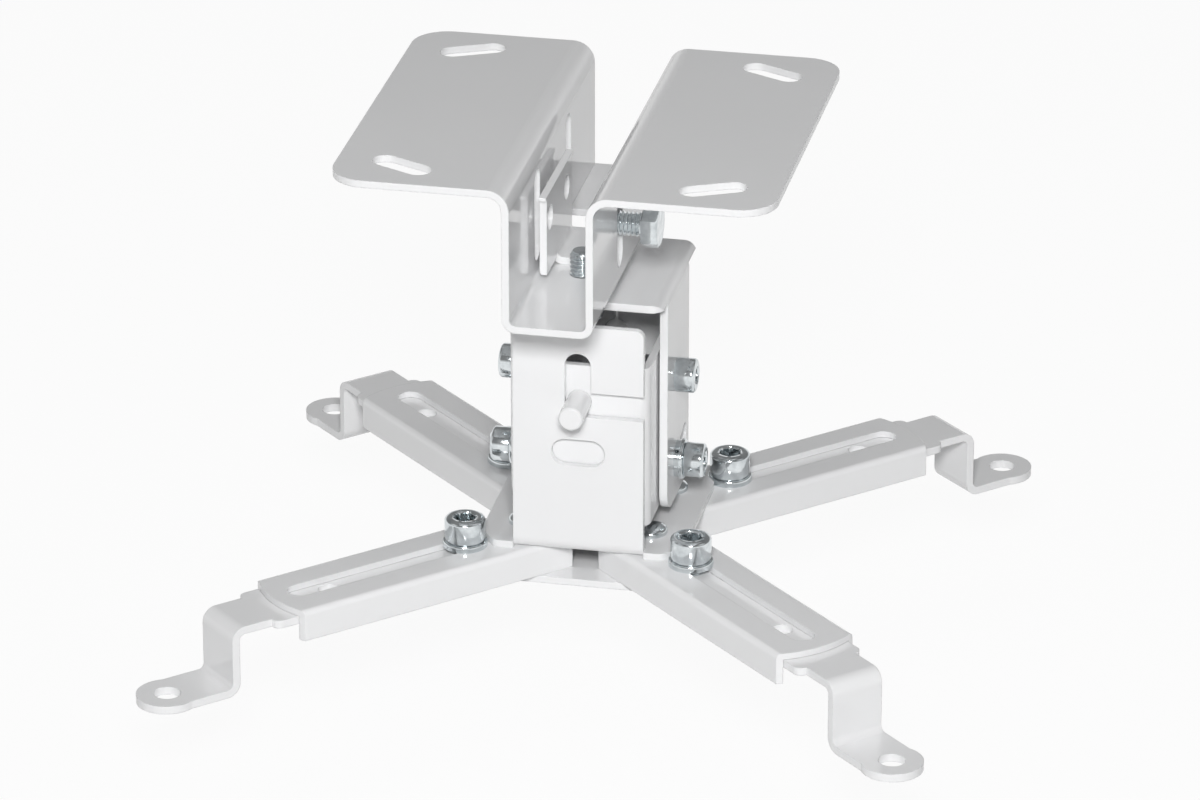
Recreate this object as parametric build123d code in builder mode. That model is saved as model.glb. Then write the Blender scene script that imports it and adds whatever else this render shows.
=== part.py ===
"""Universal projector ceiling mount, standing on its four feet as it would on a table.

Frame: origin on the ground, midway between the four feet. X runs across the ceiling
channel, Y along it towards the back, and +Z up to the ceiling. All lengths are in mm.
"""

from build123d import *
from math import cos, radians, sin
import os

os.makedirs("parts", exist_ok=True)

# Sheet metal
bracket_sheet = 1.8        # ceiling bracket, saddle, bridge, projector bracket, carrier
yoke_sheet = 2.0
arm_sheet = 1.6
extension_sheet = 2.0
bend_inside = 1.5          # inner radius of the sharp bends
sheet_clearance = 0.1      # between an extension and the arm's top
side_clearance = 0.2       # between an extension and the arm's side walls
seat_clearance = 0.2       # between the tilt carrier and the plates that hang on it
wing_clearance = 0.4       # between the tilt carrier and the yoke's wings

# M6 socket screws, their washers and nuts
m6 = 6.0
m6_hole = 6.4
cap_diameter = 10.0
cap_height = 6.0
cap_bevel = 0.5
cap_socket = 5.0           # across the flats
cap_socket_depth = 3.2
washer_diameter = 11.0
washer_thickness = 1.6
nut_flats = 10.0
nut_height = 5.0
thread_past_nut = 0.4
screw_hole_fit = 0.05      # radial, in nuts, tapped holes and pivot holes
weld_gap = 0.02            # between the hook pin and the carrier's walls

# M5 screws, nuts and washers of the tilt joint
m5 = 5.0
m5_hole = 5.5              # slots that the screws slide in
m5_cap_diameter = 8.5
m5_cap_height = 5.0
m5_cap_socket = 4.0
m5_cap_socket_depth = 2.5
m5_nut_flats = 8.0
m5_nut_height = 4.0
m5_washer_diameter = 10.0
m5_washer_thickness = 1.0
m5_spring_diameter = 9.2   # split spring washer
m5_spring_thickness = 1.2
m5_spring_slit = 0.8
m5_slit_angle = 45.0       # above the front

# Rivets at the roots of the arms
rivet = 5.0
dome_diameter = 8.0
dome_height = 2.2
dome_edge = 1.3
closing_height = 1.5
closing_edge = 0.8

# Arms: inverted channels that turn on the rivets
arm_angle = 45.0           # from the X axis
arm_pivot_x = 15.7
arm_pivot_y = 13.0
arm_width = 22.0
arm_height = 7.8
arm_corner = 1.4           # outer radius of the channel's bends
arm_length = 69.56         # from the pivot to the corners of the outer end
arm_end_bulge = 2.4        # of the outer end, past its corners
arm_root = 6.64            # from the pivot back to the square inner end
arm_slot_end = arm_length - 5.4  # centre of the slot's outer end, from the pivot
screw_reach = 17.36        # from the pivot to the clamping screw, pushed right in

# Extensions: strips that slide in the arms and carry the feet
foot_reach = 101.56        # from the pivot to the foot's hole
foot_radius = 7.5
foot_hole = 6.5
neck_width = 14.0
neck_corner = 2.0
shoulder_reach = 76.36
drop_reach = 86.36         # where the strip turns down
strip_tail = 7.7           # from the clamping screw back to the strip's inner end
strip_bend = 2.5
spare_hole = 5.0
spare_hole_reach = 56.36

# Heights and the lower plate
arm_top = 19.4
lower_plate_x = 25.0
lower_plate_y = 23.0
lower_plate_corner = 4.4

# Projector bracket: front plate, floor and back plate from one strip
bracket_width = 32.2
bracket_depth = 50.0
front_plate_height = 60.0
back_plate_height = 55.9
ear_x = 25.3
ear_front_x = 20.8
ear_corner = 2.5
ear_side_y = 19.2
plate_corner = 2.0
hook_slot_width = 6.4
hook_slot_top = 72.3
obround_length = 13.2
obround_height = 6.9
obround_z = 46.2

# Tilt carrier: the box inside, hung on the yoke's wings
carrier_bottom = 27.0
carrier_top = 68.5
carrier_seam = 0.8
pin_diameter = 6.0
pin_z = 59.0
pin_stand_out = 9.0        # past the plates
pin_bevel = 0.4

# Yoke: inverted U
yoke_half_width = 19.4
yoke_front = -17.9         # the top plate, longer than the wings at both ends
yoke_back = 24.3
yoke_front_corner = 3.7
yoke_back_corner = 5.5
yoke_top = 83.2
yoke_bend = 3.0            # outer radius
wing_front = -11.6
wing_back = 15.2
wing_foot = 25.7
wing_corner = 5.5
tilt_z = 58.0
lock_radius = 22.4         # from the tilt axis to the lock screws
lock_slot_angle = 26.0     # from straight down towards the back

# Ceiling bracket: hat section
hat_width = 107.0
hat_depth = 100.0
hat_height = 36.0
hat_front = -47.5
hat_x = -2.6               # the ceiling bracket sits left of the middle
flange_corner = 9.0
flange_bend = 3.6          # inner radius where the flanges turn out
channel_width = 22.0
channel_floor_depth = 60.2
rear_wall_lift = 3.4       # behind the floor the walls stop this much above its underside
bridge_depth = 30.0
bridge_lift = 1.95         # its underside above the channel's
ceiling_slot_length = 16.5
ceiling_slot_width = 6.5
ceiling_slot_x = 37.5
ceiling_slot_y = 38.5
ceiling_slot_angle = 26.0
wall_slot_width = 6.4
wall_slot_low = 5.8        # above the channel's underside
wall_slot_high = 29.3
wall_slot_front = 31.8     # from the bracket's front edge
wall_slot_back = 68.0

# Swivel: M6 bolt from inside the yoke up through the ceiling bracket's floor
swivel_x = -1.4
swivel_y = -12.6
swivel_washer_diameter = 10.0
swivel_washer_thickness = 3.0
swivel_head_height = 4.0
swivel_above_floor = 4.3

# Saddle: U bracket on the channel's floor
saddle_width = 15.6
saddle_floor_front = 27.0  # from the ceiling bracket's front edge
saddle_floor_back = 59.0
saddle_wing_front = 27.8
saddle_wing_back = 57.0
saddle_height = 22.0
saddle_rear_hole = 51.0
saddle_notch_back = 39.5   # the floor is cut open around the swivel bolt up to here

# Screw that locks the saddle through the channel's right wall
lock_head_height = 4.0
lock_thread_shown = 5.95
lock_screw_height = 17.1   # above the channel's underside

# Worked out from the sizes above
arm_bottom = arm_top - arm_height
arm_underside = arm_top - arm_sheet
lower_plate_bottom = arm_bottom - bracket_sheet
floor_top = arm_top + bracket_sheet
strip_middle = arm_underside - sheet_clearance - extension_sheet / 2
strip_width = arm_width - 2 * arm_sheet - 2 * side_clearance
half_depth = bracket_depth / 2
carrier_half_depth = half_depth - bracket_sheet - seat_clearance
carrier_half_width = yoke_half_width - yoke_sheet - wing_clearance
channel_bottom = yoke_top + swivel_washer_thickness
channel_floor = channel_bottom + bracket_sheet
hat_top = channel_bottom + hat_height
hat_back = hat_front + hat_depth
hat_middle = (hat_front + hat_back) / 2
sides = {"left": -1, "right": 1}
corners = {
    "front_left": (-1, -1),
    "front_right": (1, -1),
    "back_left": (-1, 1),
    "back_right": (1, 1),
}


def save(part, name):
    """Label a piece and write it to its file."""
    part.label = name
    export_step(part, f"parts/{name}.step")


def save_over_yoke(part, name):
    """Write a piece of the ceiling bracket, which is drawn about X = 0."""
    save(Pos(hat_x, 0, 0) * part, name)


def arm_plane(side_x, side_y, height):
    """Plane at an arm's pivot, its x axis along the arm, at the given height."""
    angle = radians(arm_angle if side_x > 0 else 180 - arm_angle) * side_y
    return Plane(
        origin=(side_x * arm_pivot_x, side_y * arm_pivot_y, height),
        x_dir=(cos(angle), sin(angle), 0),
        z_dir=(0, 0, 1),
    )


def side_plane(side, x, z):
    """Plane square to X at a height, its normal pointing out to the given side."""
    return Plane(origin=(side * x, 0, z), x_dir=(0, side, 0), z_dir=(side, 0, 0))


def hexagon(flats):
    """Hexagon given by its width across the flats, in the open sketch."""
    RegularPolygon(flats / 2, 6, major_radius=False)


def socket_screw(seat, thread, head, length):
    """Cap screw on a seat plane: the head stands up from it and the shank goes down.

    The head is given by its diameter, its height and its socket's flats and depth.
    """
    diameter, height, socket, socket_depth = head
    with BuildPart() as screw:
        with BuildSketch(seat):
            Circle(diameter / 2)
        extrude(amount=height)
        chamfer(screw.edges().sort_by(Axis(seat.origin, seat.z_dir))[-1], cap_bevel)
        with BuildSketch(seat.offset(height)):
            hexagon(socket)
        extrude(amount=-socket_depth, mode=Mode.SUBTRACT)
        with BuildSketch(seat):
            Circle(thread / 2)
        extrude(amount=-length)
    return screw.part


def dome_rivet(seat, grip):
    """Rivet on a seat plane: a dome above it, the shank, and the closing head past the grip."""
    with BuildPart() as body:
        with BuildSketch(seat):
            Circle(dome_diameter / 2)
        extrude(amount=dome_height)
        fillet(body.edges().sort_by(Axis(seat.origin, seat.z_dir))[-1], dome_edge)
        with BuildSketch(seat):
            Circle(rivet / 2)
        extrude(amount=-grip)
        with BuildSketch(seat.offset(-grip)):
            Circle(dome_diameter / 2)
        extrude(amount=-closing_height)
        fillet(body.edges().sort_by(Axis(seat.origin, seat.z_dir))[0], closing_edge)
    return body.part


def hexagon_bolt(seat, height, length):
    """M6 bolt with a hexagon head on a seat plane."""
    with BuildPart() as bolt:
        with BuildSketch(seat):
            hexagon(nut_flats)
        extrude(amount=height)
        with BuildSketch(seat):
            Circle(m6 / 2)
        extrude(amount=-length)
    return bolt.part


def hexagon_nut(face, flats, height, thread):
    """Nut whose near face lies on a plane and whose body goes down from it."""
    with BuildPart() as nut:
        with BuildSketch(face):
            hexagon(flats)
            Circle(thread / 2 + screw_hole_fit, mode=Mode.SUBTRACT)
        extrude(amount=-height)
    return nut.part


def flat_washer(seat, thread, diameter, thickness):
    """Plain washer lying on a plane."""
    with BuildPart() as washer:
        with BuildSketch(seat):
            Circle(diameter / 2)
            Circle(thread / 2 + screw_hole_fit, mode=Mode.SUBTRACT)
        extrude(amount=thickness)
    return washer.part


def spring_washer(side, face_x, height):
    """Split spring washer, pressed flat on a side face and split towards the upper front."""
    seat = side_plane(side, face_x, height)
    ring = flat_washer(seat, m5, m5_spring_diameter, m5_spring_thickness)
    middle_x = side * (face_x + m5_spring_thickness / 2)
    slit = Pos(middle_x, 0, height) * Rot(90 - m5_slit_angle, 0, 0) * Pos(0, 0, m5_spring_diameter / 2)
    return ring - slit * Box(2 * m5_spring_thickness, m5_spring_slit, m5_spring_diameter)


# Ceiling bracket: two flanges and a channel, bent from one sheet
half_channel = (channel_width - bracket_sheet) / 2
hat_bend = flange_bend + bracket_sheet / 2
floor_bend = bend_inside + bracket_sheet / 2
flange_line = hat_top - bracket_sheet / 2
floor_line = channel_bottom + bracket_sheet / 2
floor_end = hat_front + channel_floor_depth
wall_slot_middle = channel_bottom + (wall_slot_low + wall_slot_high) / 2
with BuildPart() as ceiling_bracket:
    with BuildSketch(Plane.XZ.offset(-hat_back)):
        with BuildLine():
            FilletPolyline(
                (-hat_width / 2, flange_line),
                (-half_channel, flange_line),
                (-half_channel, floor_line),
                (half_channel, floor_line),
                (half_channel, flange_line),
                (hat_width / 2, flange_line),
                radius=(hat_bend, floor_bend, floor_bend, hat_bend),
            )
        trace(line_width=bracket_sheet)
    extrude(amount=hat_depth)
    flange_ends = ceiling_bracket.edges().filter_by(Axis.Z).group_by(Axis.X)
    fillet(flange_ends[0] + flange_ends[-1], flange_corner)
    # Four slots for the ceiling screws, their outer ends nearer the middle
    with BuildSketch(Plane.XY.offset(hat_top)):
        for side_x, side_y in corners.values():
            x = side_x * ceiling_slot_x
            y = hat_middle + side_y * ceiling_slot_y
            with Locations((x, y)):
                SlotOverall(
                    ceiling_slot_length,
                    ceiling_slot_width,
                    rotation=-side_x * side_y * ceiling_slot_angle,
                )
    extrude(amount=-bracket_sheet, mode=Mode.SUBTRACT)
    # Upright slots through both channel walls
    with BuildSketch(Plane.YZ):
        with Locations(
            (hat_front + wall_slot_front, wall_slot_middle),
            (hat_front + wall_slot_back, wall_slot_middle),
        ):
            SlotOverall(wall_slot_high - wall_slot_low, wall_slot_width, rotation=90)
    extrude(amount=channel_width / 2, both=True, mode=Mode.SUBTRACT)
    # The floor and the foot of the walls stop short of the back edge
    with BuildSketch(Plane.XY.offset(channel_bottom)):
        with Locations((0, (floor_end + hat_back) / 2)):
            Rectangle(channel_width, hat_back - floor_end)
    extrude(amount=rear_wall_lift, mode=Mode.SUBTRACT)
    with BuildSketch(Plane.XY.offset(channel_bottom)):
        with Locations((swivel_x - hat_x, swivel_y)):
            Circle(m6 / 2 + screw_hole_fit)
    extrude(amount=bracket_sheet, mode=Mode.SUBTRACT)
save_over_yoke(ceiling_bracket.part, "ceiling_bracket")

# Bridge plate welded between the channel walls at the back
with BuildPart() as rear_bridge:
    with BuildSketch(Plane.XY.offset(channel_bottom + bridge_lift)):
        with Locations((0, hat_back - bridge_depth / 2)):
            Rectangle(channel_width - 2 * bracket_sheet, bridge_depth)
    extrude(amount=bracket_sheet)
save_over_yoke(rear_bridge.part, "rear_bridge")

# Saddle bracket on the channel's floor
saddle_line = channel_floor + bracket_sheet / 2
half_saddle = (saddle_width - bracket_sheet) / 2
saddle_top = channel_floor + saddle_height
lock_z = channel_bottom + lock_screw_height
with BuildPart() as saddle_bracket:
    with BuildSketch(Plane.XZ.offset(-(hat_front + saddle_floor_back))):
        with BuildLine():
            FilletPolyline(
                (-half_saddle, saddle_top),
                (-half_saddle, saddle_line),
                (half_saddle, saddle_line),
                (half_saddle, saddle_top),
                radius=floor_bend,
            )
        trace(line_width=bracket_sheet)
    extrude(amount=saddle_floor_back - saddle_floor_front)
    # The wings are shorter than the floor, front and back
    with BuildSketch(Plane.YZ):
        for near, far in (
            (saddle_floor_front, saddle_wing_front),
            (saddle_wing_back, saddle_floor_back),
        ):
            with Locations((hat_front + (near + far) / 2, (saddle_line + saddle_top) / 2)):
                Rectangle(far - near, saddle_top - saddle_line - bracket_sheet)
        with Locations(
            (hat_front + wall_slot_front, lock_z),
            (hat_front + saddle_rear_hole, lock_z),
        ):
            Circle(m6 / 2 + screw_hole_fit)
    extrude(amount=saddle_width / 2, both=True, mode=Mode.SUBTRACT)
    # Around the swivel bolt the floor is cut away and the wings stop at its level
    notch_depth = saddle_notch_back - saddle_floor_front
    for width, height in (
        (saddle_width, bracket_sheet),
        (saddle_width - 2 * bracket_sheet, bracket_sheet + bend_inside),
    ):
        with BuildSketch(Plane.XY.offset(channel_floor)):
            with Locations((0, hat_front + saddle_floor_front + notch_depth / 2)):
                Rectangle(width, notch_depth)
        extrude(amount=height, mode=Mode.SUBTRACT)
save_over_yoke(saddle_bracket.part, "saddle_bracket")

# Screw that locks the saddle, standing a little proud of the right wall
lock_seat_x = channel_width / 2 + lock_thread_shown
lock_seat = Plane(
    origin=(lock_seat_x, hat_front + wall_slot_front, lock_z),
    x_dir=(0, 1, 0),
    z_dir=(1, 0, 0),
)
lock_length = lock_seat_x - saddle_width / 2 + bracket_sheet + thread_past_nut
lock_screw = hexagon_bolt(lock_seat, lock_head_height, lock_length)
save_over_yoke(lock_screw, "saddle_lock_screw")

# Swivel bolt, its head inside the yoke, and the spacer washer on top of the yoke
swivel_seat_z = yoke_top - yoke_sheet
swivel_seat = Plane(origin=(swivel_x, swivel_y, swivel_seat_z), x_dir=(1, 0, 0), z_dir=(0, 0, -1))
swivel_length = channel_floor + bracket_sheet + swivel_above_floor - swivel_seat_z
save(hexagon_bolt(swivel_seat, swivel_head_height, swivel_length), "swivel_bolt")
spacer_seat = Plane((swivel_x, swivel_y, yoke_top))
save(
    flat_washer(spacer_seat, m6, swivel_washer_diameter, swivel_washer_thickness),
    "swivel_washer",
)

# Yoke: a top plate and two wings, bent from one sheet
yoke_line = yoke_half_width - yoke_sheet / 2
yoke_depth = yoke_back - yoke_front
yoke_middle = (yoke_front + yoke_back) / 2
wing_middle = (wing_front + wing_back) / 2
with BuildPart() as yoke:
    with BuildSketch(Plane.XZ.offset(-yoke_back)):
        with BuildLine():
            FilletPolyline(
                (-yoke_line, wing_foot),
                (-yoke_line, yoke_top - yoke_sheet / 2),
                (yoke_line, yoke_top - yoke_sheet / 2),
                (yoke_line, wing_foot),
                radius=yoke_bend - yoke_sheet / 2,
            )
        trace(line_width=yoke_sheet)
    extrude(amount=yoke_depth)
    # Side view: the wings are shorter than the top plate and end in rounded corners
    with BuildSketch(Plane.YZ):
        with Locations((wing_middle, (yoke_top + wing_foot) / 2)):
            wing = Rectangle(wing_back - wing_front, yoke_top - wing_foot)
            fillet(wing.vertices().sort_by(Axis.Y)[:2], wing_corner)
        with Locations((yoke_middle, yoke_top - yoke_sheet / 2)):
            Rectangle(yoke_depth, yoke_sheet)
    extrude(amount=yoke_half_width, both=True, mode=Mode.INTERSECT)
    # Plan view: rounded corners of the top plate
    with BuildSketch(Plane.XY.offset(wing_foot)):
        with Locations((0, yoke_middle)):
            plan = Rectangle(2 * yoke_half_width, yoke_depth)
            plan_corners = plan.vertices().sort_by(Axis.Y)
            fillet(plan_corners[:2], yoke_front_corner)
            fillet(plan_corners[2:], yoke_back_corner)
    extrude(amount=yoke_top - wing_foot, mode=Mode.INTERSECT)
    # Tilt holes, and the arcs that the lock screws ride in
    with BuildSketch(Plane.YZ):
        with Locations((0, tilt_z)):
            Circle(m5 / 2 + screw_hole_fit)
        with BuildLine():
            first = 270
            last = first + lock_slot_angle
            CenterArc((0, tilt_z), lock_radius + m5_hole / 2, first, lock_slot_angle)
            CenterArc((0, tilt_z), lock_radius - m5_hole / 2, first, lock_slot_angle)
            for end, opening in ((first, first + 180), (last, last)):
                end_y = lock_radius * cos(radians(end))
                end_z = tilt_z + lock_radius * sin(radians(end))
                CenterArc((end_y, end_z), m5_hole / 2, opening, 180)
        make_face()
    extrude(amount=yoke_half_width, both=True, mode=Mode.SUBTRACT)
    with BuildSketch(Plane.XY.offset(yoke_top)):
        with Locations((swivel_x, swivel_y)):
            Circle(m6 / 2 + screw_hole_fit)
    extrude(amount=-yoke_sheet, mode=Mode.SUBTRACT)
save(yoke.part, "yoke")

# Tilt carrier: a box folded from one sheet, its seam in the middle of the back
low_screw_z = tilt_z - lock_radius
with BuildPart() as tilt_carrier:
    with BuildSketch(Plane.XY.offset(carrier_bottom)):
        RectangleRounded(
            2 * carrier_half_width,
            2 * carrier_half_depth,
            bend_inside + bracket_sheet,
        )
        RectangleRounded(
            2 * (carrier_half_width - bracket_sheet),
            2 * (carrier_half_depth - bracket_sheet),
            bend_inside,
            mode=Mode.SUBTRACT,
        )
        with Locations((0, carrier_half_depth - bracket_sheet / 2)):
            Rectangle(carrier_seam, 2 * bracket_sheet, mode=Mode.SUBTRACT)
    extrude(amount=carrier_top - carrier_bottom)
    with BuildSketch(Plane.YZ):
        with Locations((0, tilt_z), (0, low_screw_z)):
            Circle(m5 / 2 + screw_hole_fit)
    extrude(amount=carrier_half_width, both=True, mode=Mode.SUBTRACT)
    with BuildSketch(Plane.XZ):
        with Locations((0, pin_z)):
            Circle(pin_diameter / 2 + weld_gap)
    extrude(amount=carrier_half_depth, both=True, mode=Mode.SUBTRACT)
save(tilt_carrier.part, "tilt_carrier")

# Hook pin, welded through the carrier's front and back
pin_half_length = half_depth + pin_stand_out
with BuildPart() as hook_pin:
    with BuildSketch(Plane.XZ.offset(-pin_half_length)):
        with Locations((0, pin_z)):
            Circle(pin_diameter / 2)
    extrude(amount=2 * pin_half_length)
    chamfer(hook_pin.edges().filter_by(GeomType.CIRCLE), pin_bevel)
save(hook_pin.part, "hook_pin")

# Tilt screws: the upper pair is the pivot, the lower pair locks the angle
nut_face_x = carrier_half_width - bracket_sheet
m5_head = (m5_cap_diameter, m5_cap_height, m5_cap_socket, m5_cap_socket_depth)
spring_face_x = yoke_half_width + m5_spring_thickness
for name, side in sides.items():
    for kind, height, seat_x in (
        ("pivot", tilt_z, yoke_half_width),
        ("lock", low_screw_z, spring_face_x + m5_washer_thickness),
    ):
        length = seat_x - nut_face_x + m5_nut_height + thread_past_nut
        screw = socket_screw(side_plane(side, seat_x, height), m5, m5_head, length)
        save(screw, f"tilt_{kind}_screw_{name}")
        nut_face = side_plane(side, nut_face_x, height)
        save(hexagon_nut(nut_face, m5_nut_flats, m5_nut_height, m5), f"tilt_{kind}_nut_{name}")
    save(spring_washer(side, yoke_half_width, low_screw_z), f"tilt_lock_spring_{name}")
    washer_face = side_plane(side, spring_face_x, low_screw_z)
    washer = flat_washer(washer_face, m5, m5_washer_diameter, m5_washer_thickness)
    save(washer, f"tilt_lock_washer_{name}")

# Projector bracket: front plate, floor with ears, back plate
hook_low = pin_z - hook_slot_width / 2
half_slot = hook_slot_width / 2
slot_mouth = bracket_width / 2 + 1
with BuildPart() as projector_bracket:
    with BuildSketch(Plane.XY.offset(arm_top)):
        with BuildLine():
            Polyline(
                (0, -half_depth),
                (ear_front_x, -half_depth),
                (ear_x, -ear_side_y),
                (ear_x, ear_side_y),
                (ear_front_x, half_depth),
                (0, half_depth),
            )
            mirror(about=Plane.YZ)
        make_face()
    extrude(amount=bracket_sheet)
    ear_edges = projector_bracket.edges().filter_by(Axis.Z)
    fillet(ear_edges, ear_corner)
    for outer_face, height in (
        (half_depth, front_plate_height),
        (-half_depth + bracket_sheet, back_plate_height),
    ):
        with BuildSketch(Plane.XZ.offset(outer_face)):
            with Locations((0, arm_top + height / 2)):
                Rectangle(bracket_width, height)
        extrude(amount=-bracket_sheet)
    plate_corners = (
        projector_bracket.edges()
        .filter_by(Axis.Y)
        .filter_by_position(Axis.Z, arm_top + back_plate_height / 2, hat_top)
    )
    fillet(plate_corners, plate_corner)
    # Inside bends between the plates and the floor
    inner_face = half_depth - bracket_sheet
    floor_lines = (
        projector_bracket.edges()
        .filter_by(Axis.X)
        .filter_by_position(Axis.Z, floor_top - 0.01, floor_top + 0.01)
        .filter_by_position(Axis.Y, -inner_face - 0.01, inner_face + 0.01)
        .filter_by_position(Axis.X, -0.01, 0.01)
    )
    fillet(floor_lines, bend_inside)
    # Outside bends, cut over the plates' width only
    bend_outside = bend_inside + bracket_sheet
    for side in (-1, 1):
        with BuildSketch(Plane.YZ):
            with BuildLine():
                corner_y = side * half_depth
                Line((corner_y - side * bend_outside, arm_top), (corner_y, arm_top))
                Line((corner_y, arm_top), (corner_y, arm_top + bend_outside))
                RadiusArc(
                    (corner_y, arm_top + bend_outside),
                    (corner_y - side * bend_outside, arm_top),
                    side * bend_outside,
                )
            make_face()
        extrude(amount=bracket_width / 2, both=True, mode=Mode.SUBTRACT)
    # L-shaped hook slot through both plates, open at the right edge, and the obround
    with BuildSketch(Plane.XZ):
        with BuildLine():
            Polyline(
                (-half_slot, hook_slot_top - half_slot),
                (-half_slot, hook_low),
                (slot_mouth, hook_low),
                (slot_mouth, hook_low + hook_slot_width),
                (half_slot, hook_low + hook_slot_width),
                (half_slot, hook_slot_top - half_slot),
            )
            ThreePointArc(
                (-half_slot, hook_slot_top - half_slot),
                (0, hook_slot_top),
                (half_slot, hook_slot_top - half_slot),
            )
        make_face()
        with Locations((0, obround_z)):
            SlotOverall(obround_length, obround_height)
    extrude(amount=half_depth, both=True, mode=Mode.SUBTRACT)
    with BuildSketch(Plane.XY.offset(arm_top)):
        with GridLocations(2 * arm_pivot_x, 2 * arm_pivot_y, 2, 2):
            Circle(rivet / 2 + screw_hole_fit)
    extrude(amount=bracket_sheet, mode=Mode.SUBTRACT)
save(projector_bracket.part, "projector_bracket")

# Lower plate that clamps the roots of the arms
with BuildPart() as lower_plate:
    with BuildSketch(Plane.XY.offset(lower_plate_bottom)):
        outline = Rectangle(2 * lower_plate_x, 2 * lower_plate_y)
        chamfer(outline.vertices(), lower_plate_corner)
        with GridLocations(2 * arm_pivot_x, 2 * arm_pivot_y, 2, 2):
            Circle(rivet / 2 + screw_hole_fit, mode=Mode.SUBTRACT)
    extrude(amount=bracket_sheet)
save(lower_plate.part, "lower_plate")

# Arms and everything that goes with each of them
inner_half_width = arm_width / 2 - arm_sheet
strip_inner = screw_reach - strip_tail
foot_tip = foot_reach + foot_radius
foot_line = extension_sheet / 2
m6_head = (cap_diameter, cap_height, cap_socket, cap_socket_depth)
for name, (side_x, side_y) in corners.items():
    with BuildPart() as arm:
        with BuildSketch(arm_plane(side_x, side_y, arm_bottom)):
            with BuildLine():
                Polyline(
                    (arm_length, -arm_width / 2),
                    (-arm_root, -arm_width / 2),
                    (-arm_root, arm_width / 2),
                    (arm_length, arm_width / 2),
                )
                ThreePointArc(
                    (arm_length, arm_width / 2),
                    (arm_length + arm_end_bulge, 0),
                    (arm_length, -arm_width / 2),
                )
            make_face()
        extrude(amount=arm_height)
        long_edges = (
            arm.faces()
            .sort_by(Axis.Z)[-1]
            .edges()
            .filter_by(GeomType.LINE)
            .sort_by(Edge.length)[-2:]
        )
        fillet(long_edges, arm_corner)
        # Hollow of the channel, open at both ends
        with BuildSketch(arm_plane(side_x, side_y, arm_bottom)):
            with Locations((arm_length / 2, 0)):
                Rectangle(arm_length + 2 * arm_width, 2 * inner_half_width)
        extrude(amount=arm_height - arm_sheet, mode=Mode.SUBTRACT)
        # Long slot for the clamping screw, and the pivot hole
        with BuildSketch(arm_plane(side_x, side_y, arm_top)):
            with Locations(((screw_reach + arm_slot_end) / 2, 0)):
                SlotCenterToCenter(arm_slot_end - screw_reach, m6_hole)
            Circle(rivet / 2 + screw_hole_fit)
        extrude(amount=-arm_sheet, mode=Mode.SUBTRACT)
    save(arm.part, f"arm_{name}")

    with BuildPart() as extension:
        # Side view of the strip: level in the arm, down, and level again in the foot
        along = arm_plane(side_x, side_y, 0)
        across = Plane(
            origin=along.origin + along.y_dir * (strip_width / 2),
            x_dir=along.x_dir,
            z_dir=-along.y_dir,
        )
        with BuildSketch(across):
            with BuildLine():
                FilletPolyline(
                    (strip_inner, strip_middle),
                    (drop_reach, strip_middle),
                    (drop_reach, foot_line),
                    (foot_tip, foot_line),
                    radius=strip_bend,
                )
            trace(line_width=extension_sheet)
        extrude(amount=strip_width)
        # Plan view: wide in the arm, a neck past the shoulders, a round foot
        with BuildSketch(along):
            with Locations(((strip_inner + shoulder_reach) / 2, 0)):
                wide = Rectangle(shoulder_reach - strip_inner, strip_width)
                fillet(wide.vertices(), neck_corner)
            with Locations(((shoulder_reach - neck_corner + foot_reach) / 2, 0)):
                Rectangle(foot_reach - shoulder_reach + neck_corner, neck_width)
            with Locations((foot_reach, 0)):
                Circle(foot_radius)
            with Locations((foot_reach, 0)):
                Circle(foot_hole / 2, mode=Mode.SUBTRACT)
            with Locations((screw_reach, 0)):
                Circle(m6 / 2 + screw_hole_fit, mode=Mode.SUBTRACT)
            with Locations((spare_hole_reach, 0)):
                Circle(spare_hole / 2, mode=Mode.SUBTRACT)
        extrude(amount=arm_top, mode=Mode.INTERSECT)
    save(extension.part, f"extension_{name}")

    clamp_top = arm_plane(side_x, side_y, arm_top)
    clamp_top.origin += clamp_top.x_dir * screw_reach
    strip_underside = strip_middle - extension_sheet / 2
    clamp_length = arm_top - strip_underside + washer_thickness + nut_height + thread_past_nut
    save(
        socket_screw(clamp_top.offset(washer_thickness), m6, m6_head, clamp_length),
        f"arm_screw_{name}",
    )
    clamp_washer = flat_washer(clamp_top, m6, washer_diameter, washer_thickness)
    save(clamp_washer, f"arm_washer_{name}")
    nut_seat = clamp_top.offset(strip_underside - arm_top)
    save(hexagon_nut(nut_seat, nut_flats, nut_height, m6), f"arm_nut_{name}")

    rivet_seat = arm_plane(side_x, side_y, floor_top)
    grip = floor_top - lower_plate_bottom
    save(dome_rivet(rivet_seat, grip), f"arm_rivet_{name}")
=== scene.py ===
"""Looks of a projector ceiling mount: white powder-coated sheet steel and bright zinc screws.

Blender works in metres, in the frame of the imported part. Sizes of the small hardware are given
in millimetres, as they are for screws, and are turned into metres when a mesh is made.
"""

from math import cos, pi, radians, sin

import bmesh
import bpy
import numpy as np
from mathutils import Matrix, Vector


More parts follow.
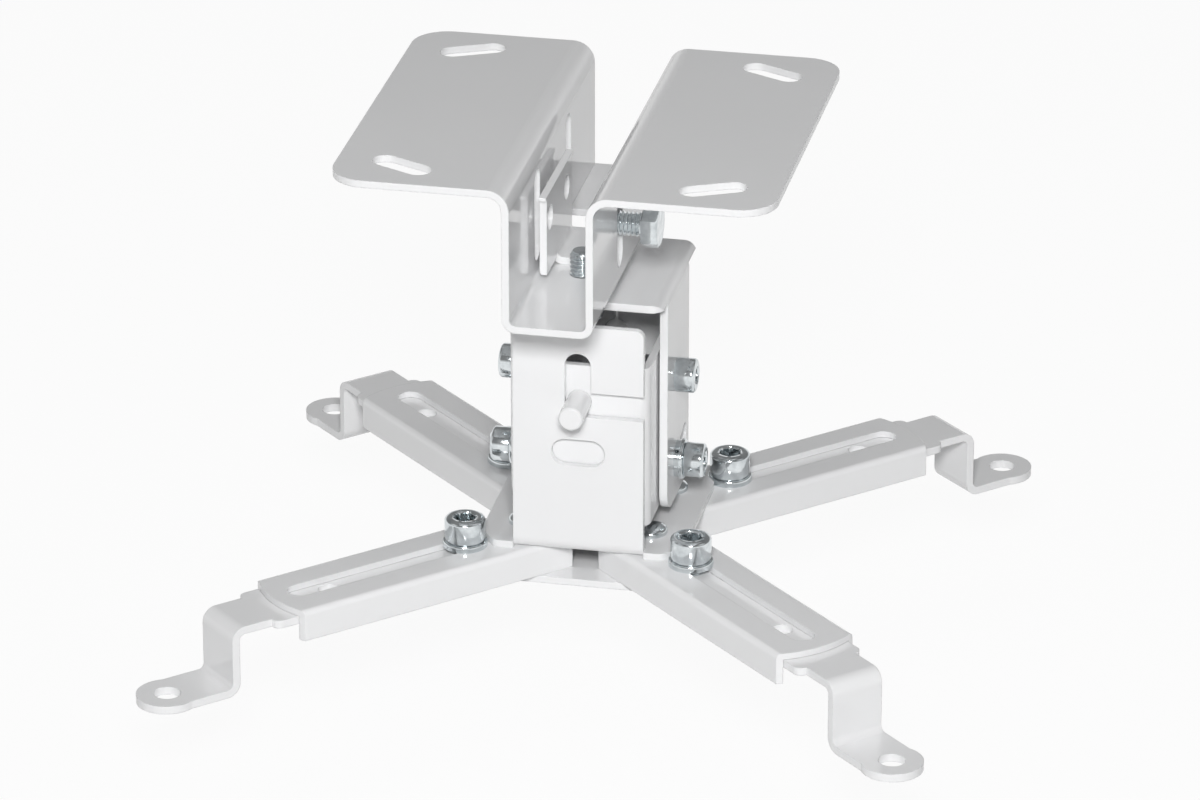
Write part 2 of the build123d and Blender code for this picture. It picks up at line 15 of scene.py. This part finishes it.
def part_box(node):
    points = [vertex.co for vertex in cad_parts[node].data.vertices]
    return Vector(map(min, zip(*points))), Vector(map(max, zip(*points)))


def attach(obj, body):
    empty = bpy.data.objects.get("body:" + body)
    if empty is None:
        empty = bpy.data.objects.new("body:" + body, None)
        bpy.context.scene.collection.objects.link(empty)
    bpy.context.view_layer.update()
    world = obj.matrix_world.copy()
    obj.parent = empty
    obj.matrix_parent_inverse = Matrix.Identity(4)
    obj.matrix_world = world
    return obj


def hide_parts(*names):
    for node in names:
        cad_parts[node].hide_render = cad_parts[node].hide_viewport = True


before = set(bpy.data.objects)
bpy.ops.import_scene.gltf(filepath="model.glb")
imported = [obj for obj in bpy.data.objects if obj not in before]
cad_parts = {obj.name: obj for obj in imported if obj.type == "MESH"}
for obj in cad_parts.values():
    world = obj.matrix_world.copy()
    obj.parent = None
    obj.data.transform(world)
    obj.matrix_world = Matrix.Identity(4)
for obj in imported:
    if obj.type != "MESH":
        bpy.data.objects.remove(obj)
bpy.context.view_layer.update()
mm = 0.001

# Camera, as the photograph was taken: angles in degrees, the lens in millimetres
camera_azimuth = 11.67
camera_elevation = 23.95
camera_distance = 1.728
camera_aim = (0.0003, 0.0, 0.0494)
camera_lens = 212.4
sensor_width = 36.0

# Where the lamps look, and how far the floor lies below the feet
lamp_aim = (0.0, 0.0, 0.06)
floor_depth = 0.036
floor_half_width = 4.0

# Hardware, in millimetres
thread_pitch = 1.0
thread_depth = 0.55
hole_gap = 0.05            # between a thread and the hole round it
m6_radius = 3.0
m5_radius = 2.5
hexagon_height = 4.0       # of the saddle's screw and of the swivel bolt
m6_flats = 10.0            # of hexagon heads and nuts
m6_nut_height = 5.0
m5_flats = 8.0
m5_nut_height = 4.0
m6_washer = (5.5, 1.6)     # outer radius and thickness
m5_washer = (5.0, 1.0)
spacer_thickness = 3.0
rivet_radius = 2.5
rivet_rim = 4.0
rivet_head = 2.2
rivet_edge = 0.9           # height of the dome's edge
rivet_closing = 1.5
closing_edge = 0.8

# Socket heads: diameter, height, flats of the socket and its depth
m6_cap = (10.0, 6.0, 5.0, 3.2)
m5_cap = (8.5, 5.0, 4.0, 2.5)

# How each corner's screw and rivet happen to be turned, in radians
corner_clocks = {"front_left": 0.35, "front_right": 0.9, "back_left": 0.1, "back_right": 0.62}
pivot_clock = 0.2
lock_clock = 0.75

# The arms run out at these angles, in degrees, and their nuts' hexagons with them
corner_angles = {"front_left": 225, "front_right": 315, "back_left": 135, "back_right": 45}

turned_columns = 72        # faces round a turned piece
sharp_angle = 38           # degrees between faces, past which an edge shows


# Shader building


class Signal:
    """A shader socket that can be used in sums. Each sum adds a Math node behind it."""

    def __init__(self, graph, socket):
        self.graph = graph
        self.socket = socket

    def combined(self, operation, first, second):
        made = self.graph.node("ShaderNodeMath", {"operation": operation}, {0: first, 1: second})
        return made["Value"]

    def __add__(self, other):
        return self.combined("ADD", self, other)

    __radd__ = __add__

    def __mul__(self, other):
        return self.combined("MULTIPLY", self, other)

    __rmul__ = __mul__

    def __sub__(self, other):
        return self.combined("SUBTRACT", self, other)

    def __rsub__(self, other):
        return self.combined("SUBTRACT", other, self)

    def at_most(self, other):
        return self.combined("MINIMUM", self, other)

    def at_least(self, other):
        return self.combined("MAXIMUM", self, other)


class Placed:
    """A node in a graph, whose outputs are read by name or number as signals."""

    def __init__(self, graph, made):
        self.graph = graph
        self.made = made

    def __getitem__(self, name):
        return Signal(self.graph, self.made.outputs[name])


class Graph:
    """The node tree of one material or of the world."""

    def __init__(self, owner):
        owner.use_nodes = True
        self.tree = owner.node_tree
        self.tree.nodes.clear()

    def node(self, kind, settings=None, inputs=None):
        """Adds a node: its settings are set first, then the values or links of its sockets."""
        made = self.tree.nodes.new(kind)
        for name, value in (settings or {}).items():
            setattr(made, name, value)
        for name, value in (inputs or {}).items():
            if isinstance(value, Signal):
                self.tree.links.new(value.socket, made.inputs[name])
            else:
                made.inputs[name].default_value = value
        return Placed(self, made)


def grey(level):
    """An opaque grey."""
    return (level, level, level, 1.0)


def noise(graph, scale, detail):
    """Noise that is fixed to the piece, from 0 to 1."""
    place = graph.node("ShaderNodeTexCoord")["Object"]
    return graph.node("ShaderNodeTexNoise", {}, {"Vector": place, "Scale": scale, "Detail": detail})["Fac"]


def relief(graph, height, depth, edge_radius, samples):
    """The normal of a bumped surface of the given depth, on edges rounded by the given radius."""
    soft_edge = graph.node("ShaderNodeBevel", {"samples": samples}, {"Radius": edge_radius})["Normal"]
    inputs = {"Strength": 1.0, "Distance": depth, "Height": height, "Normal": soft_edge}
    return graph.node("ShaderNodeBump", {}, inputs)["Normal"]


def blend(graph, share, first, second):
    """A colour that goes from the first to the second with the share."""
    mixed = graph.node("ShaderNodeMix", {"data_type": "RGBA"}, {"Factor": share, 6: first, 7: second})
    return mixed[2]


def white_powder_coat():
    """Glossy white powder coat: a shallow orange peel in two sizes, and soft paint edges."""
    material = bpy.data.materials.new("white_powder_coat")
    graph = Graph(material)
    peel = noise(graph, 520.0, 1.5)
    swell = noise(graph, 110.0, 1.0)
    cloud = noise(graph, 26.0, 2.0)
    height = peel * 0.35 + swell * 0.65
    surface = graph.node(
        "ShaderNodeBsdfPrincipled",
        {},
        {
            "Base Color": blend(graph, cloud, (0.845, 0.848, 0.856, 1.0), (0.875, 0.877, 0.882, 1.0)),
            "Roughness": 0.05 + 0.07 * cloud,
            "IOR": 1.52,
            "Coat Weight": 0.25,
            "Coat Roughness": 0.05,
            "Normal": relief(graph, height, 0.01 * mm, 0.35 * mm, 6),
        },
    )
    graph.node("ShaderNodeOutputMaterial", {}, {"Surface": surface["BSDF"]})
    return material


def zinc_plate():
    """Bright zinc plate: silver with brighter patches that are smoother, and fine pits."""
    material = bpy.data.materials.new("zinc_plate")
    graph = Graph(material)
    cloud = noise(graph, 380.0, 4.0)
    grain = noise(graph, 2400.0, 2.0)
    patches = ((cloud - 0.35) * 3.0).at_least(0.0).at_most(1.0)
    surface = graph.node(
        "ShaderNodeBsdfPrincipled",
        {},
        {
            "Base Color": blend(graph, patches, (0.6, 0.64, 0.66, 1.0), (0.82, 0.86, 0.875, 1.0)),
            "Metallic": 1.0,
            "Roughness": 0.11 + 0.08 * grain - 0.05 * patches,
            "Normal": relief(graph, grain + cloud, 0.006 * mm, 0.12 * mm, 4),
        },
    )
    graph.node("ShaderNodeOutputMaterial", {}, {"Surface": surface["BSDF"]})
    return material


white = white_powder_coat()
zinc = zinc_plate()

# The CAD pieces keep their shapes and take the two finishes
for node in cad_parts.values():
    for material_slot in node.material_slots:
        is_white = material_slot.name.startswith("white")
        material_slot.material = white if is_white else zinc


# Turned hardware


def hexagonal(turn):
    """Radius of a hexagon over the radius of its inner circle, corners at 0, 60, 120 degrees.

    It is one over the cosine of the angle from the middle of the nearest flat.
    """
    from_flat = np.mod(turn, pi / 3) - pi / 6
    return 1.0 / np.cos(from_flat)


def thread_wave(turn, height):
    """Depth of a right-hand thread as a share: a helix of flat crests and V-shaped roots.

    The phase grows with height over the pitch less the turn as a share of a full one. A
    triangle wave of that phase is stretched and clipped, so crests and roots have a small flat.
    """
    phase = np.mod(height / thread_pitch - turn / (2 * pi), 1.0)
    triangle = np.abs(2.0 * phase - 1.0)
    return np.clip(1.25 * triangle - 0.12, 0.0, 1.0)


def clean(mesh):
    """Drops the pole rows' spare points and turns all faces outwards."""
    work = bmesh.new()
    work.from_mesh(mesh)
    loose = [point for point in work.verts if not point.link_faces]
    bmesh.ops.delete(work, geom=loose, context="VERTS")
    bmesh.ops.recalc_face_normals(work, faces=work.faces)
    work.to_mesh(mesh)
    work.free()


def turned(node, rows, centre, axis, clock, body):
    """A turned zinc piece that stands in for a CAD node, on the grid of turn by profile row.

    Each row is (radius, height, hexagon share, thread share, largest radius). Its radius at a
    turn is the circle's, blended by the hexagon share into the hexagon's, less the thread's
    depth, and never over the row's largest. A first or last row of radius 0 is a pole. The
    piece stands on centre with its heights along axis, and clock is its turn about the axis.
    """
    turn = np.linspace(0.0, 2 * pi, turned_columns, endpoint=False)
    radius, height, hexagon, thread, largest = np.array(rows, float).T[:, :, None]
    reach = radius * (1.0 + hexagon * (hexagonal(turn) - 1.0))
    reach = reach - thread * thread_depth * thread_wave(turn, height)
    reach = np.minimum(reach, largest)
    across = np.stack([reach * np.cos(turn), reach * np.sin(turn), height + 0.0 * reach], axis=2)
    index = np.arange(reach.size).reshape(reach.shape)
    after = np.roll(index, -1, axis=1)
    quads = np.stack([index[:-1], index[1:], after[1:], after[:-1]], axis=2)
    points = across.reshape(-1, 3)
    if radius[0, 0] == 0.0:
        inner = quads[1:-1].reshape(-1, 4)
        top = np.full(turned_columns, index[0, 0])
        foot = np.full(turned_columns, index[-1, 0])
        start_fan = np.stack([top, index[1], after[1]], axis=1)
        end_fan = np.stack([index[-2], foot, after[-2]], axis=1)
        faces = inner.tolist() + start_fan.tolist() + end_fan.tolist()
    else:
        around = np.stack([index[-1], index[0], after[0], after[-1]], axis=1)
        faces = quads.reshape(-1, 4).tolist() + around.tolist()
    mesh = bpy.data.meshes.new(node + "_look")
    mesh.from_pydata((points * mm).tolist(), [], faces)
    mesh.update()
    piece = bpy.data.objects.new(node + "_look", mesh)
    bpy.context.scene.collection.objects.link(piece)
    up = Vector(axis).normalized()
    turn_to_axis = Vector((0, 0, 1)).rotation_difference(up).to_matrix().to_4x4()
    mesh.transform(Matrix.Translation(centre) @ turn_to_axis @ Matrix.Rotation(clock, 4, "Z"))
    clean(mesh)
    mesh.shade_smooth()
    mesh.set_sharp_from_angle(angle=radians(sharp_angle))
    mesh.materials.append(zinc)
    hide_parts(node)
    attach(piece, body)


def plain(radius, height, hexagon=0.0, largest=1000.0):
    """A row with no thread."""
    return (radius, height, hexagon, 0.0, largest)


def threaded(radius, start, end):
    """Rows of thread down from start to end, 12 to a pitch.

    The depth grows in a straight line over the run-out, and the largest radius shrinks in a
    straight line over the taper at the tip.
    """
    run_out_length = 0.8
    taper = 0.9
    heights = np.arange(start, end, -thread_pitch / 12)
    run_out = np.clip((start - heights) / run_out_length, 0.0, 1.0)
    tip = radius - np.clip(taper - (heights - end), 0.0, taper) * 0.75
    return [(radius, h, 0.0, share, largest) for h, share, largest in zip(heights, run_out, tip)]


def cap_head(diameter, head, flats, depth):
    """Rows of a socket cap head over its seat: hexagon socket, chamfered mouth, rounded rim.

    The rim is a quarter of an ellipse, wider than it is high.
    """
    rim = diameter / 2
    key = flats / 2
    wide, high = 0.13 * diameter, 0.1 * diameter
    rows = [
        plain(0.0, head - depth - 0.5),
        plain(key * 0.55, head - depth - 0.2, 0.4),
        plain(key, head - depth, 1.0),
        plain(key, head - 0.35, 1.0),
        plain(key * 1.16, head - 0.06, 0.12),
        plain(key * 1.2, head),
    ]
    for step in np.linspace(0.0, 1.0, 9):
        bend = step * pi / 2
        rows.append(plain(rim - wide + wide * sin(bend), head - high + high * cos(bend)))
    return rows + [plain(rim, 0.3), plain(rim - 0.12, 0.06), plain(rim - 0.3, 0.0)]


def rivet_rows(grip):
    """Rows of a rivet: a dome on its seat, a shank through the grip, and a low closing head.

    The dome is a quarter of an ellipse over its edge, and the closing head's edge is a quarter
    of a circle.
    """
    rim = rivet_rim
    foot = -grip - rivet_closing
    rows = [plain(0.0, rivet_head)]
    for step in np.linspace(0.12, 1.0, 11):
        bend = step * pi / 2
        rows.append(plain(rim * sin(bend), rivet_edge + (rivet_head - rivet_edge) * cos(bend)))
    rows += [plain(rim, 0.1), plain(rim - 0.12, 0.0), plain(rivet_radius, 0.0), plain(rivet_radius, -grip)]
    for step in np.linspace(0.0, 1.0, 7):
        bend = step * pi / 2
        bent_in = closing_edge * (1.0 - cos(bend))
        rows.append(plain(rim - bent_in, foot + closing_edge * (1.0 - sin(bend))))
    return rows + [plain(0.0, foot)]


def hexagon_head(flats, head):
    """Rows of a hexagon head whose corners are cut back by a steep cone on top.

    The cone's radius grows by 1.7 times the drop below the top.
    """
    half = flats / 2
    rows = [plain(0.0, head), plain(half * 0.88, head)]
    for drop in (0.0, 0.08, 0.2, 0.36, 0.6, 0.9):
        rows.append(plain(half, head - drop, 1.0, half * 0.95 + drop * 1.7))
    return rows + [plain(half, 0.25, 1.0), plain(half - 0.15, 0.0, 1.0)]


def nut_rows(bore, flats, head):
    """Rows of a closed ring: hexagon outside, round bore, corners cut by a cone at both ends.

    Each cone is the hexagon head's.
    """
    half = flats / 2
    rows = [plain(bore, head - 0.3), plain(bore + 0.35, head)]
    drops = np.array([0.0, 0.1, 0.25, 0.45, 0.8])
    for drop in drops:
        rows.append(plain(half, head - drop, 1.0, half * 0.95 + drop * 1.7))
    for drop in drops[::-1]:
        rows.append(plain(half, drop, 1.0, half * 0.95 + drop * 1.7))
    return rows + [plain(bore + 0.35, 0.0), plain(bore, 0.3)]


def washer_rows(bore, rim, thickness):
    """Rows of a punched washer: rounded upper rim, small burr below."""
    return [
        plain(bore, thickness - 0.15),
        plain(bore + 0.12, thickness),
        plain(rim - 0.5, thickness),
        plain(rim - 0.18, thickness - 0.07),
        plain(rim - 0.03, thickness - 0.3),
        plain(rim, thickness - 0.6),
        plain(rim, 0.12),
        plain(rim - 0.12, 0.0),
        plain(bore + 0.05, 0.0),
    ]


def shank(radius, length):
    """Rows of a threaded shank below a head, down to its flat tip."""
    neck = [plain(radius, -0.02), plain(radius, -0.25)]
    tip = radius - 0.7
    return neck + threaded(radius, -0.3, -length + 0.02) + [plain(tip, -length), plain(0.0, -length)]


def low_end(node):
    """The middle of the bottom of a CAD node's box."""
    low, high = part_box(node)
    return Vector(((low.x + high.x) / 2, (low.y + high.y) / 2, low.z))


def side_end(node, side):
    """The middle of the inner side of a CAD node's box: the one towards the part's middle."""
    low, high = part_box(node)
    return Vector((low.x if side > 0 else high.x, (low.y + high.y) / 2, (low.z + high.z) / 2))


def side_screw(node, body, side, head_rows, head, radius, clock):
    """A screw whose head looks out to the given side, put where its CAD node is."""
    low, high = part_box(node)
    seat = side_end(node, side)
    inner = seat.x
    seat.x = (high.x if side > 0 else low.x) - side * head * mm
    rows = head_rows + shank(radius, abs(seat.x - inner) / mm)
    turned(node, rows, seat, (side, 0, 0), clock, body)


def corner_hardware(corner):
    """A corner's arm screw with its washer and nut, and the rivet that its arm turns on."""
    up = (0, 0, 1)
    clock = corner_clocks[corner]
    sliding = "extension_" + corner

    node = "arm_screw_" + corner
    low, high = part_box(node)
    seat = low_end(node)
    seat.z = high.z - m6_cap[1] * mm
    turned(node, cap_head(*m6_cap) + shank(m6_radius, (seat.z - low.z) / mm), seat, up, clock, sliding)

    node = "arm_nut_" + corner
    rows = nut_rows(m6_radius + hole_gap, m6_flats, m6_nut_height)
    turned(node, rows, low_end(node), up, radians(corner_angles[corner]), sliding)

    node = "arm_rivet_" + corner
    low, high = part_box(node)
    seat = low_end(node)
    seat.z = high.z - rivet_head * mm
    grip = (high.z - low.z) / mm - rivet_head - rivet_closing
    turned(node, rivet_rows(grip), seat, up, clock, "bracket")

    node = "arm_washer_" + corner
    turned(node, washer_rows(m6_radius + hole_gap, *m6_washer), low_end(node), up, 0.0, sliding)


def tilt_hardware(side_name, side):
    """One side's pivot and lock screws with their nuts, and the lock screw's flat washer."""
    outwards = (side, 0, 0)
    bore = m5_radius + hole_gap
    head = cap_head(*m5_cap)
    for kind, clock in (("pivot", pivot_clock), ("lock", lock_clock)):
        node = f"tilt_{kind}_screw_{side_name}"
        side_screw(node, "carrier", side, head, m5_cap[1], m5_radius, clock)
        node = f"tilt_{kind}_nut_{side_name}"
        rows = nut_rows(bore, m5_flats, m5_nut_height)
        turned(node, rows, side_end(node, side), outwards, 0.0, "carrier")
    node = f"tilt_lock_washer_{side_name}"
    rows = washer_rows(bore, *m5_washer)
    turned(node, rows, side_end(node, side), outwards, 0.0, "carrier")


def swivel_hardware():
    """The swivel bolt, whose head is below, and the round spacer over it."""
    node = "swivel_bolt"
    low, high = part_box(node)
    seat = low_end(node)
    seat.z = low.z + hexagon_height * mm
    rows = hexagon_head(m6_flats, hexagon_height) + shank(m6_radius, (high.z - seat.z) / mm)
    turned(node, rows, seat, (0, 0, -1), 0.0, "yoke")

    node = "swivel_washer"
    low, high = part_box(node)
    rows = washer_rows(m6_radius + hole_gap, (high.x - low.x) / 2 / mm, spacer_thickness)
    turned(node, rows, low_end(node), (0, 0, 1), 0.0, "yoke")


for corner in corner_clocks:
    corner_hardware(corner)
tilt_hardware("left", -1)
tilt_hardware("right", 1)
saddle_head = hexagon_head(m6_flats, hexagon_height)
side_screw("saddle_lock_screw", "ceiling", 1, saddle_head, hexagon_height, m6_radius, 0.0)
swivel_hardware()


# Studio


def mirrored(rays):
    """1 for a ray that comes from a glossy or clear surface, and 0 for others."""
    return (rays["Is Glossy Ray"] + rays["Is Transmission Ray"]).at_most(1.0)


def white_floor():
    """Floor that gives plain light back, and looks nearly white to the camera and in gloss."""
    material = bpy.data.materials.new("white_floor")
    graph = Graph(material)
    rays = graph.node("ShaderNodeLightPath")
    seen = 0.94 * rays["Is Camera Ray"] + 0.8 * mirrored(rays)
    matt = graph.node("ShaderNodeBsdfDiffuse", {}, {"Color": grey(0.85)})["BSDF"]
    glow = graph.node("ShaderNodeEmission", {}, {"Color": grey(1.0), "Strength": 1.0})["Emission"]
    mixed = graph.node("ShaderNodeMixShader", {}, {"Fac": seen.at_most(0.94)})
    graph.tree.links.new(matt.socket, mixed.made.inputs[1])
    graph.tree.links.new(glow.socket, mixed.made.inputs[2])
    graph.node("ShaderNodeOutputMaterial", {}, {"Surface": mixed["Shader"]})
    return material


def floor_grid(half_width, depth):
    """A flat square: x and y run over a coarse grid and z is minus the depth."""
    steps = np.linspace(-half_width, half_width, 9)
    x, y = np.meshgrid(steps, steps, indexing="ij")
    points = np.stack([x, y, 0.0 * x - depth], axis=2).reshape(-1, 3)
    index = np.arange(x.size).reshape(x.shape)
    faces = np.stack([index[:-1, :-1], index[1:, :-1], index[1:, 1:], index[:-1, 1:]], axis=2)
    mesh = bpy.data.meshes.new("floor")
    mesh.from_pydata(points.tolist(), [], faces.reshape(-1, 4).tolist())
    made = bpy.data.objects.new("floor", mesh)
    bpy.context.scene.collection.objects.link(made)
    return made


# The floor is low enough for the feet when the carrier tips and the bracket drops
floor = floor_grid(floor_half_width, floor_depth)
floor.data.materials.append(white_floor())

world = bpy.data.worlds.new("studio")
bpy.context.scene.world = world
graph = Graph(world)
rays = graph.node("ShaderNodeLightPath")
seen = (rays["Is Camera Ray"] + rays["Is Glossy Ray"] + rays["Is Transmission Ray"]).at_most(1.0)
# Gloss finds a white horizon and a dimmer ceiling, and matt surfaces get a little light from all sides
towards = graph.node("ShaderNodeTexCoord")["Generated"]
height = graph.node("ShaderNodeSeparateXYZ", {}, {"Vector": towards})["Z"]
ceiling = ((height - 0.12) * 4.0).at_least(0.0).at_most(1.0)
strength = 0.06 + seen * (0.94 - 0.78 * ceiling)
sky = graph.node("ShaderNodeBackground", {}, {"Color": grey(1.0), "Strength": strength})
graph.node("ShaderNodeOutputWorld", {}, {"Surface": sky["Background"]})


def direction(azimuth, elevation):
    """The way from the part at an angle from its front to its right, and at one above its level."""
    turn = radians(azimuth)
    rise = radians(elevation)
    return Vector((sin(turn) * cos(rise), -cos(turn) * cos(rise), sin(rise)))


def softbox(name, azimuth, elevation, distance, width, height, power):
    """A soft area lamp on a sphere round the part, looking at its middle, with its power in watts."""
    away = direction(azimuth, elevation)
    lamp = bpy.data.lights.new(name, "AREA")
    lamp.shape = "RECTANGLE"
    lamp.size = width
    lamp.size_y = height
    lamp.energy = power
    placed = bpy.data.objects.new(name, lamp)
    placed.location = Vector(lamp_aim) + away * distance
    placed.rotation_euler = away.to_track_quat("Z", "Y").to_euler()
    bpy.context.scene.collection.objects.link(placed)


softbox("key", 11, 31, 1.6, 0.3, 0.24, 19)
softbox("top", 0, 84, 1.5, 0.9, 0.9, 3.65)
softbox("fill_left", -60, 35, 1.5, 0.8, 0.8, 0.8)
softbox("fill_right", 85, 40, 1.5, 0.8, 0.8, 0.8)

camera = bpy.data.cameras.new("camera")
camera.lens = camera_lens
camera.sensor_width = sensor_width
camera.clip_start = 0.05
camera.clip_end = 50.0
viewer = bpy.data.objects.new("camera", camera)
back = direction(camera_azimuth, camera_elevation)
viewer.location = Vector(camera_aim) + back * camera_distance
viewer.rotation_euler = back.to_track_quat("Z", "Y").to_euler()
bpy.context.scene.collection.objects.link(viewer)
bpy.context.scene.camera = viewer
bpy.context.scene.view_settings.view_transform = "Standard"
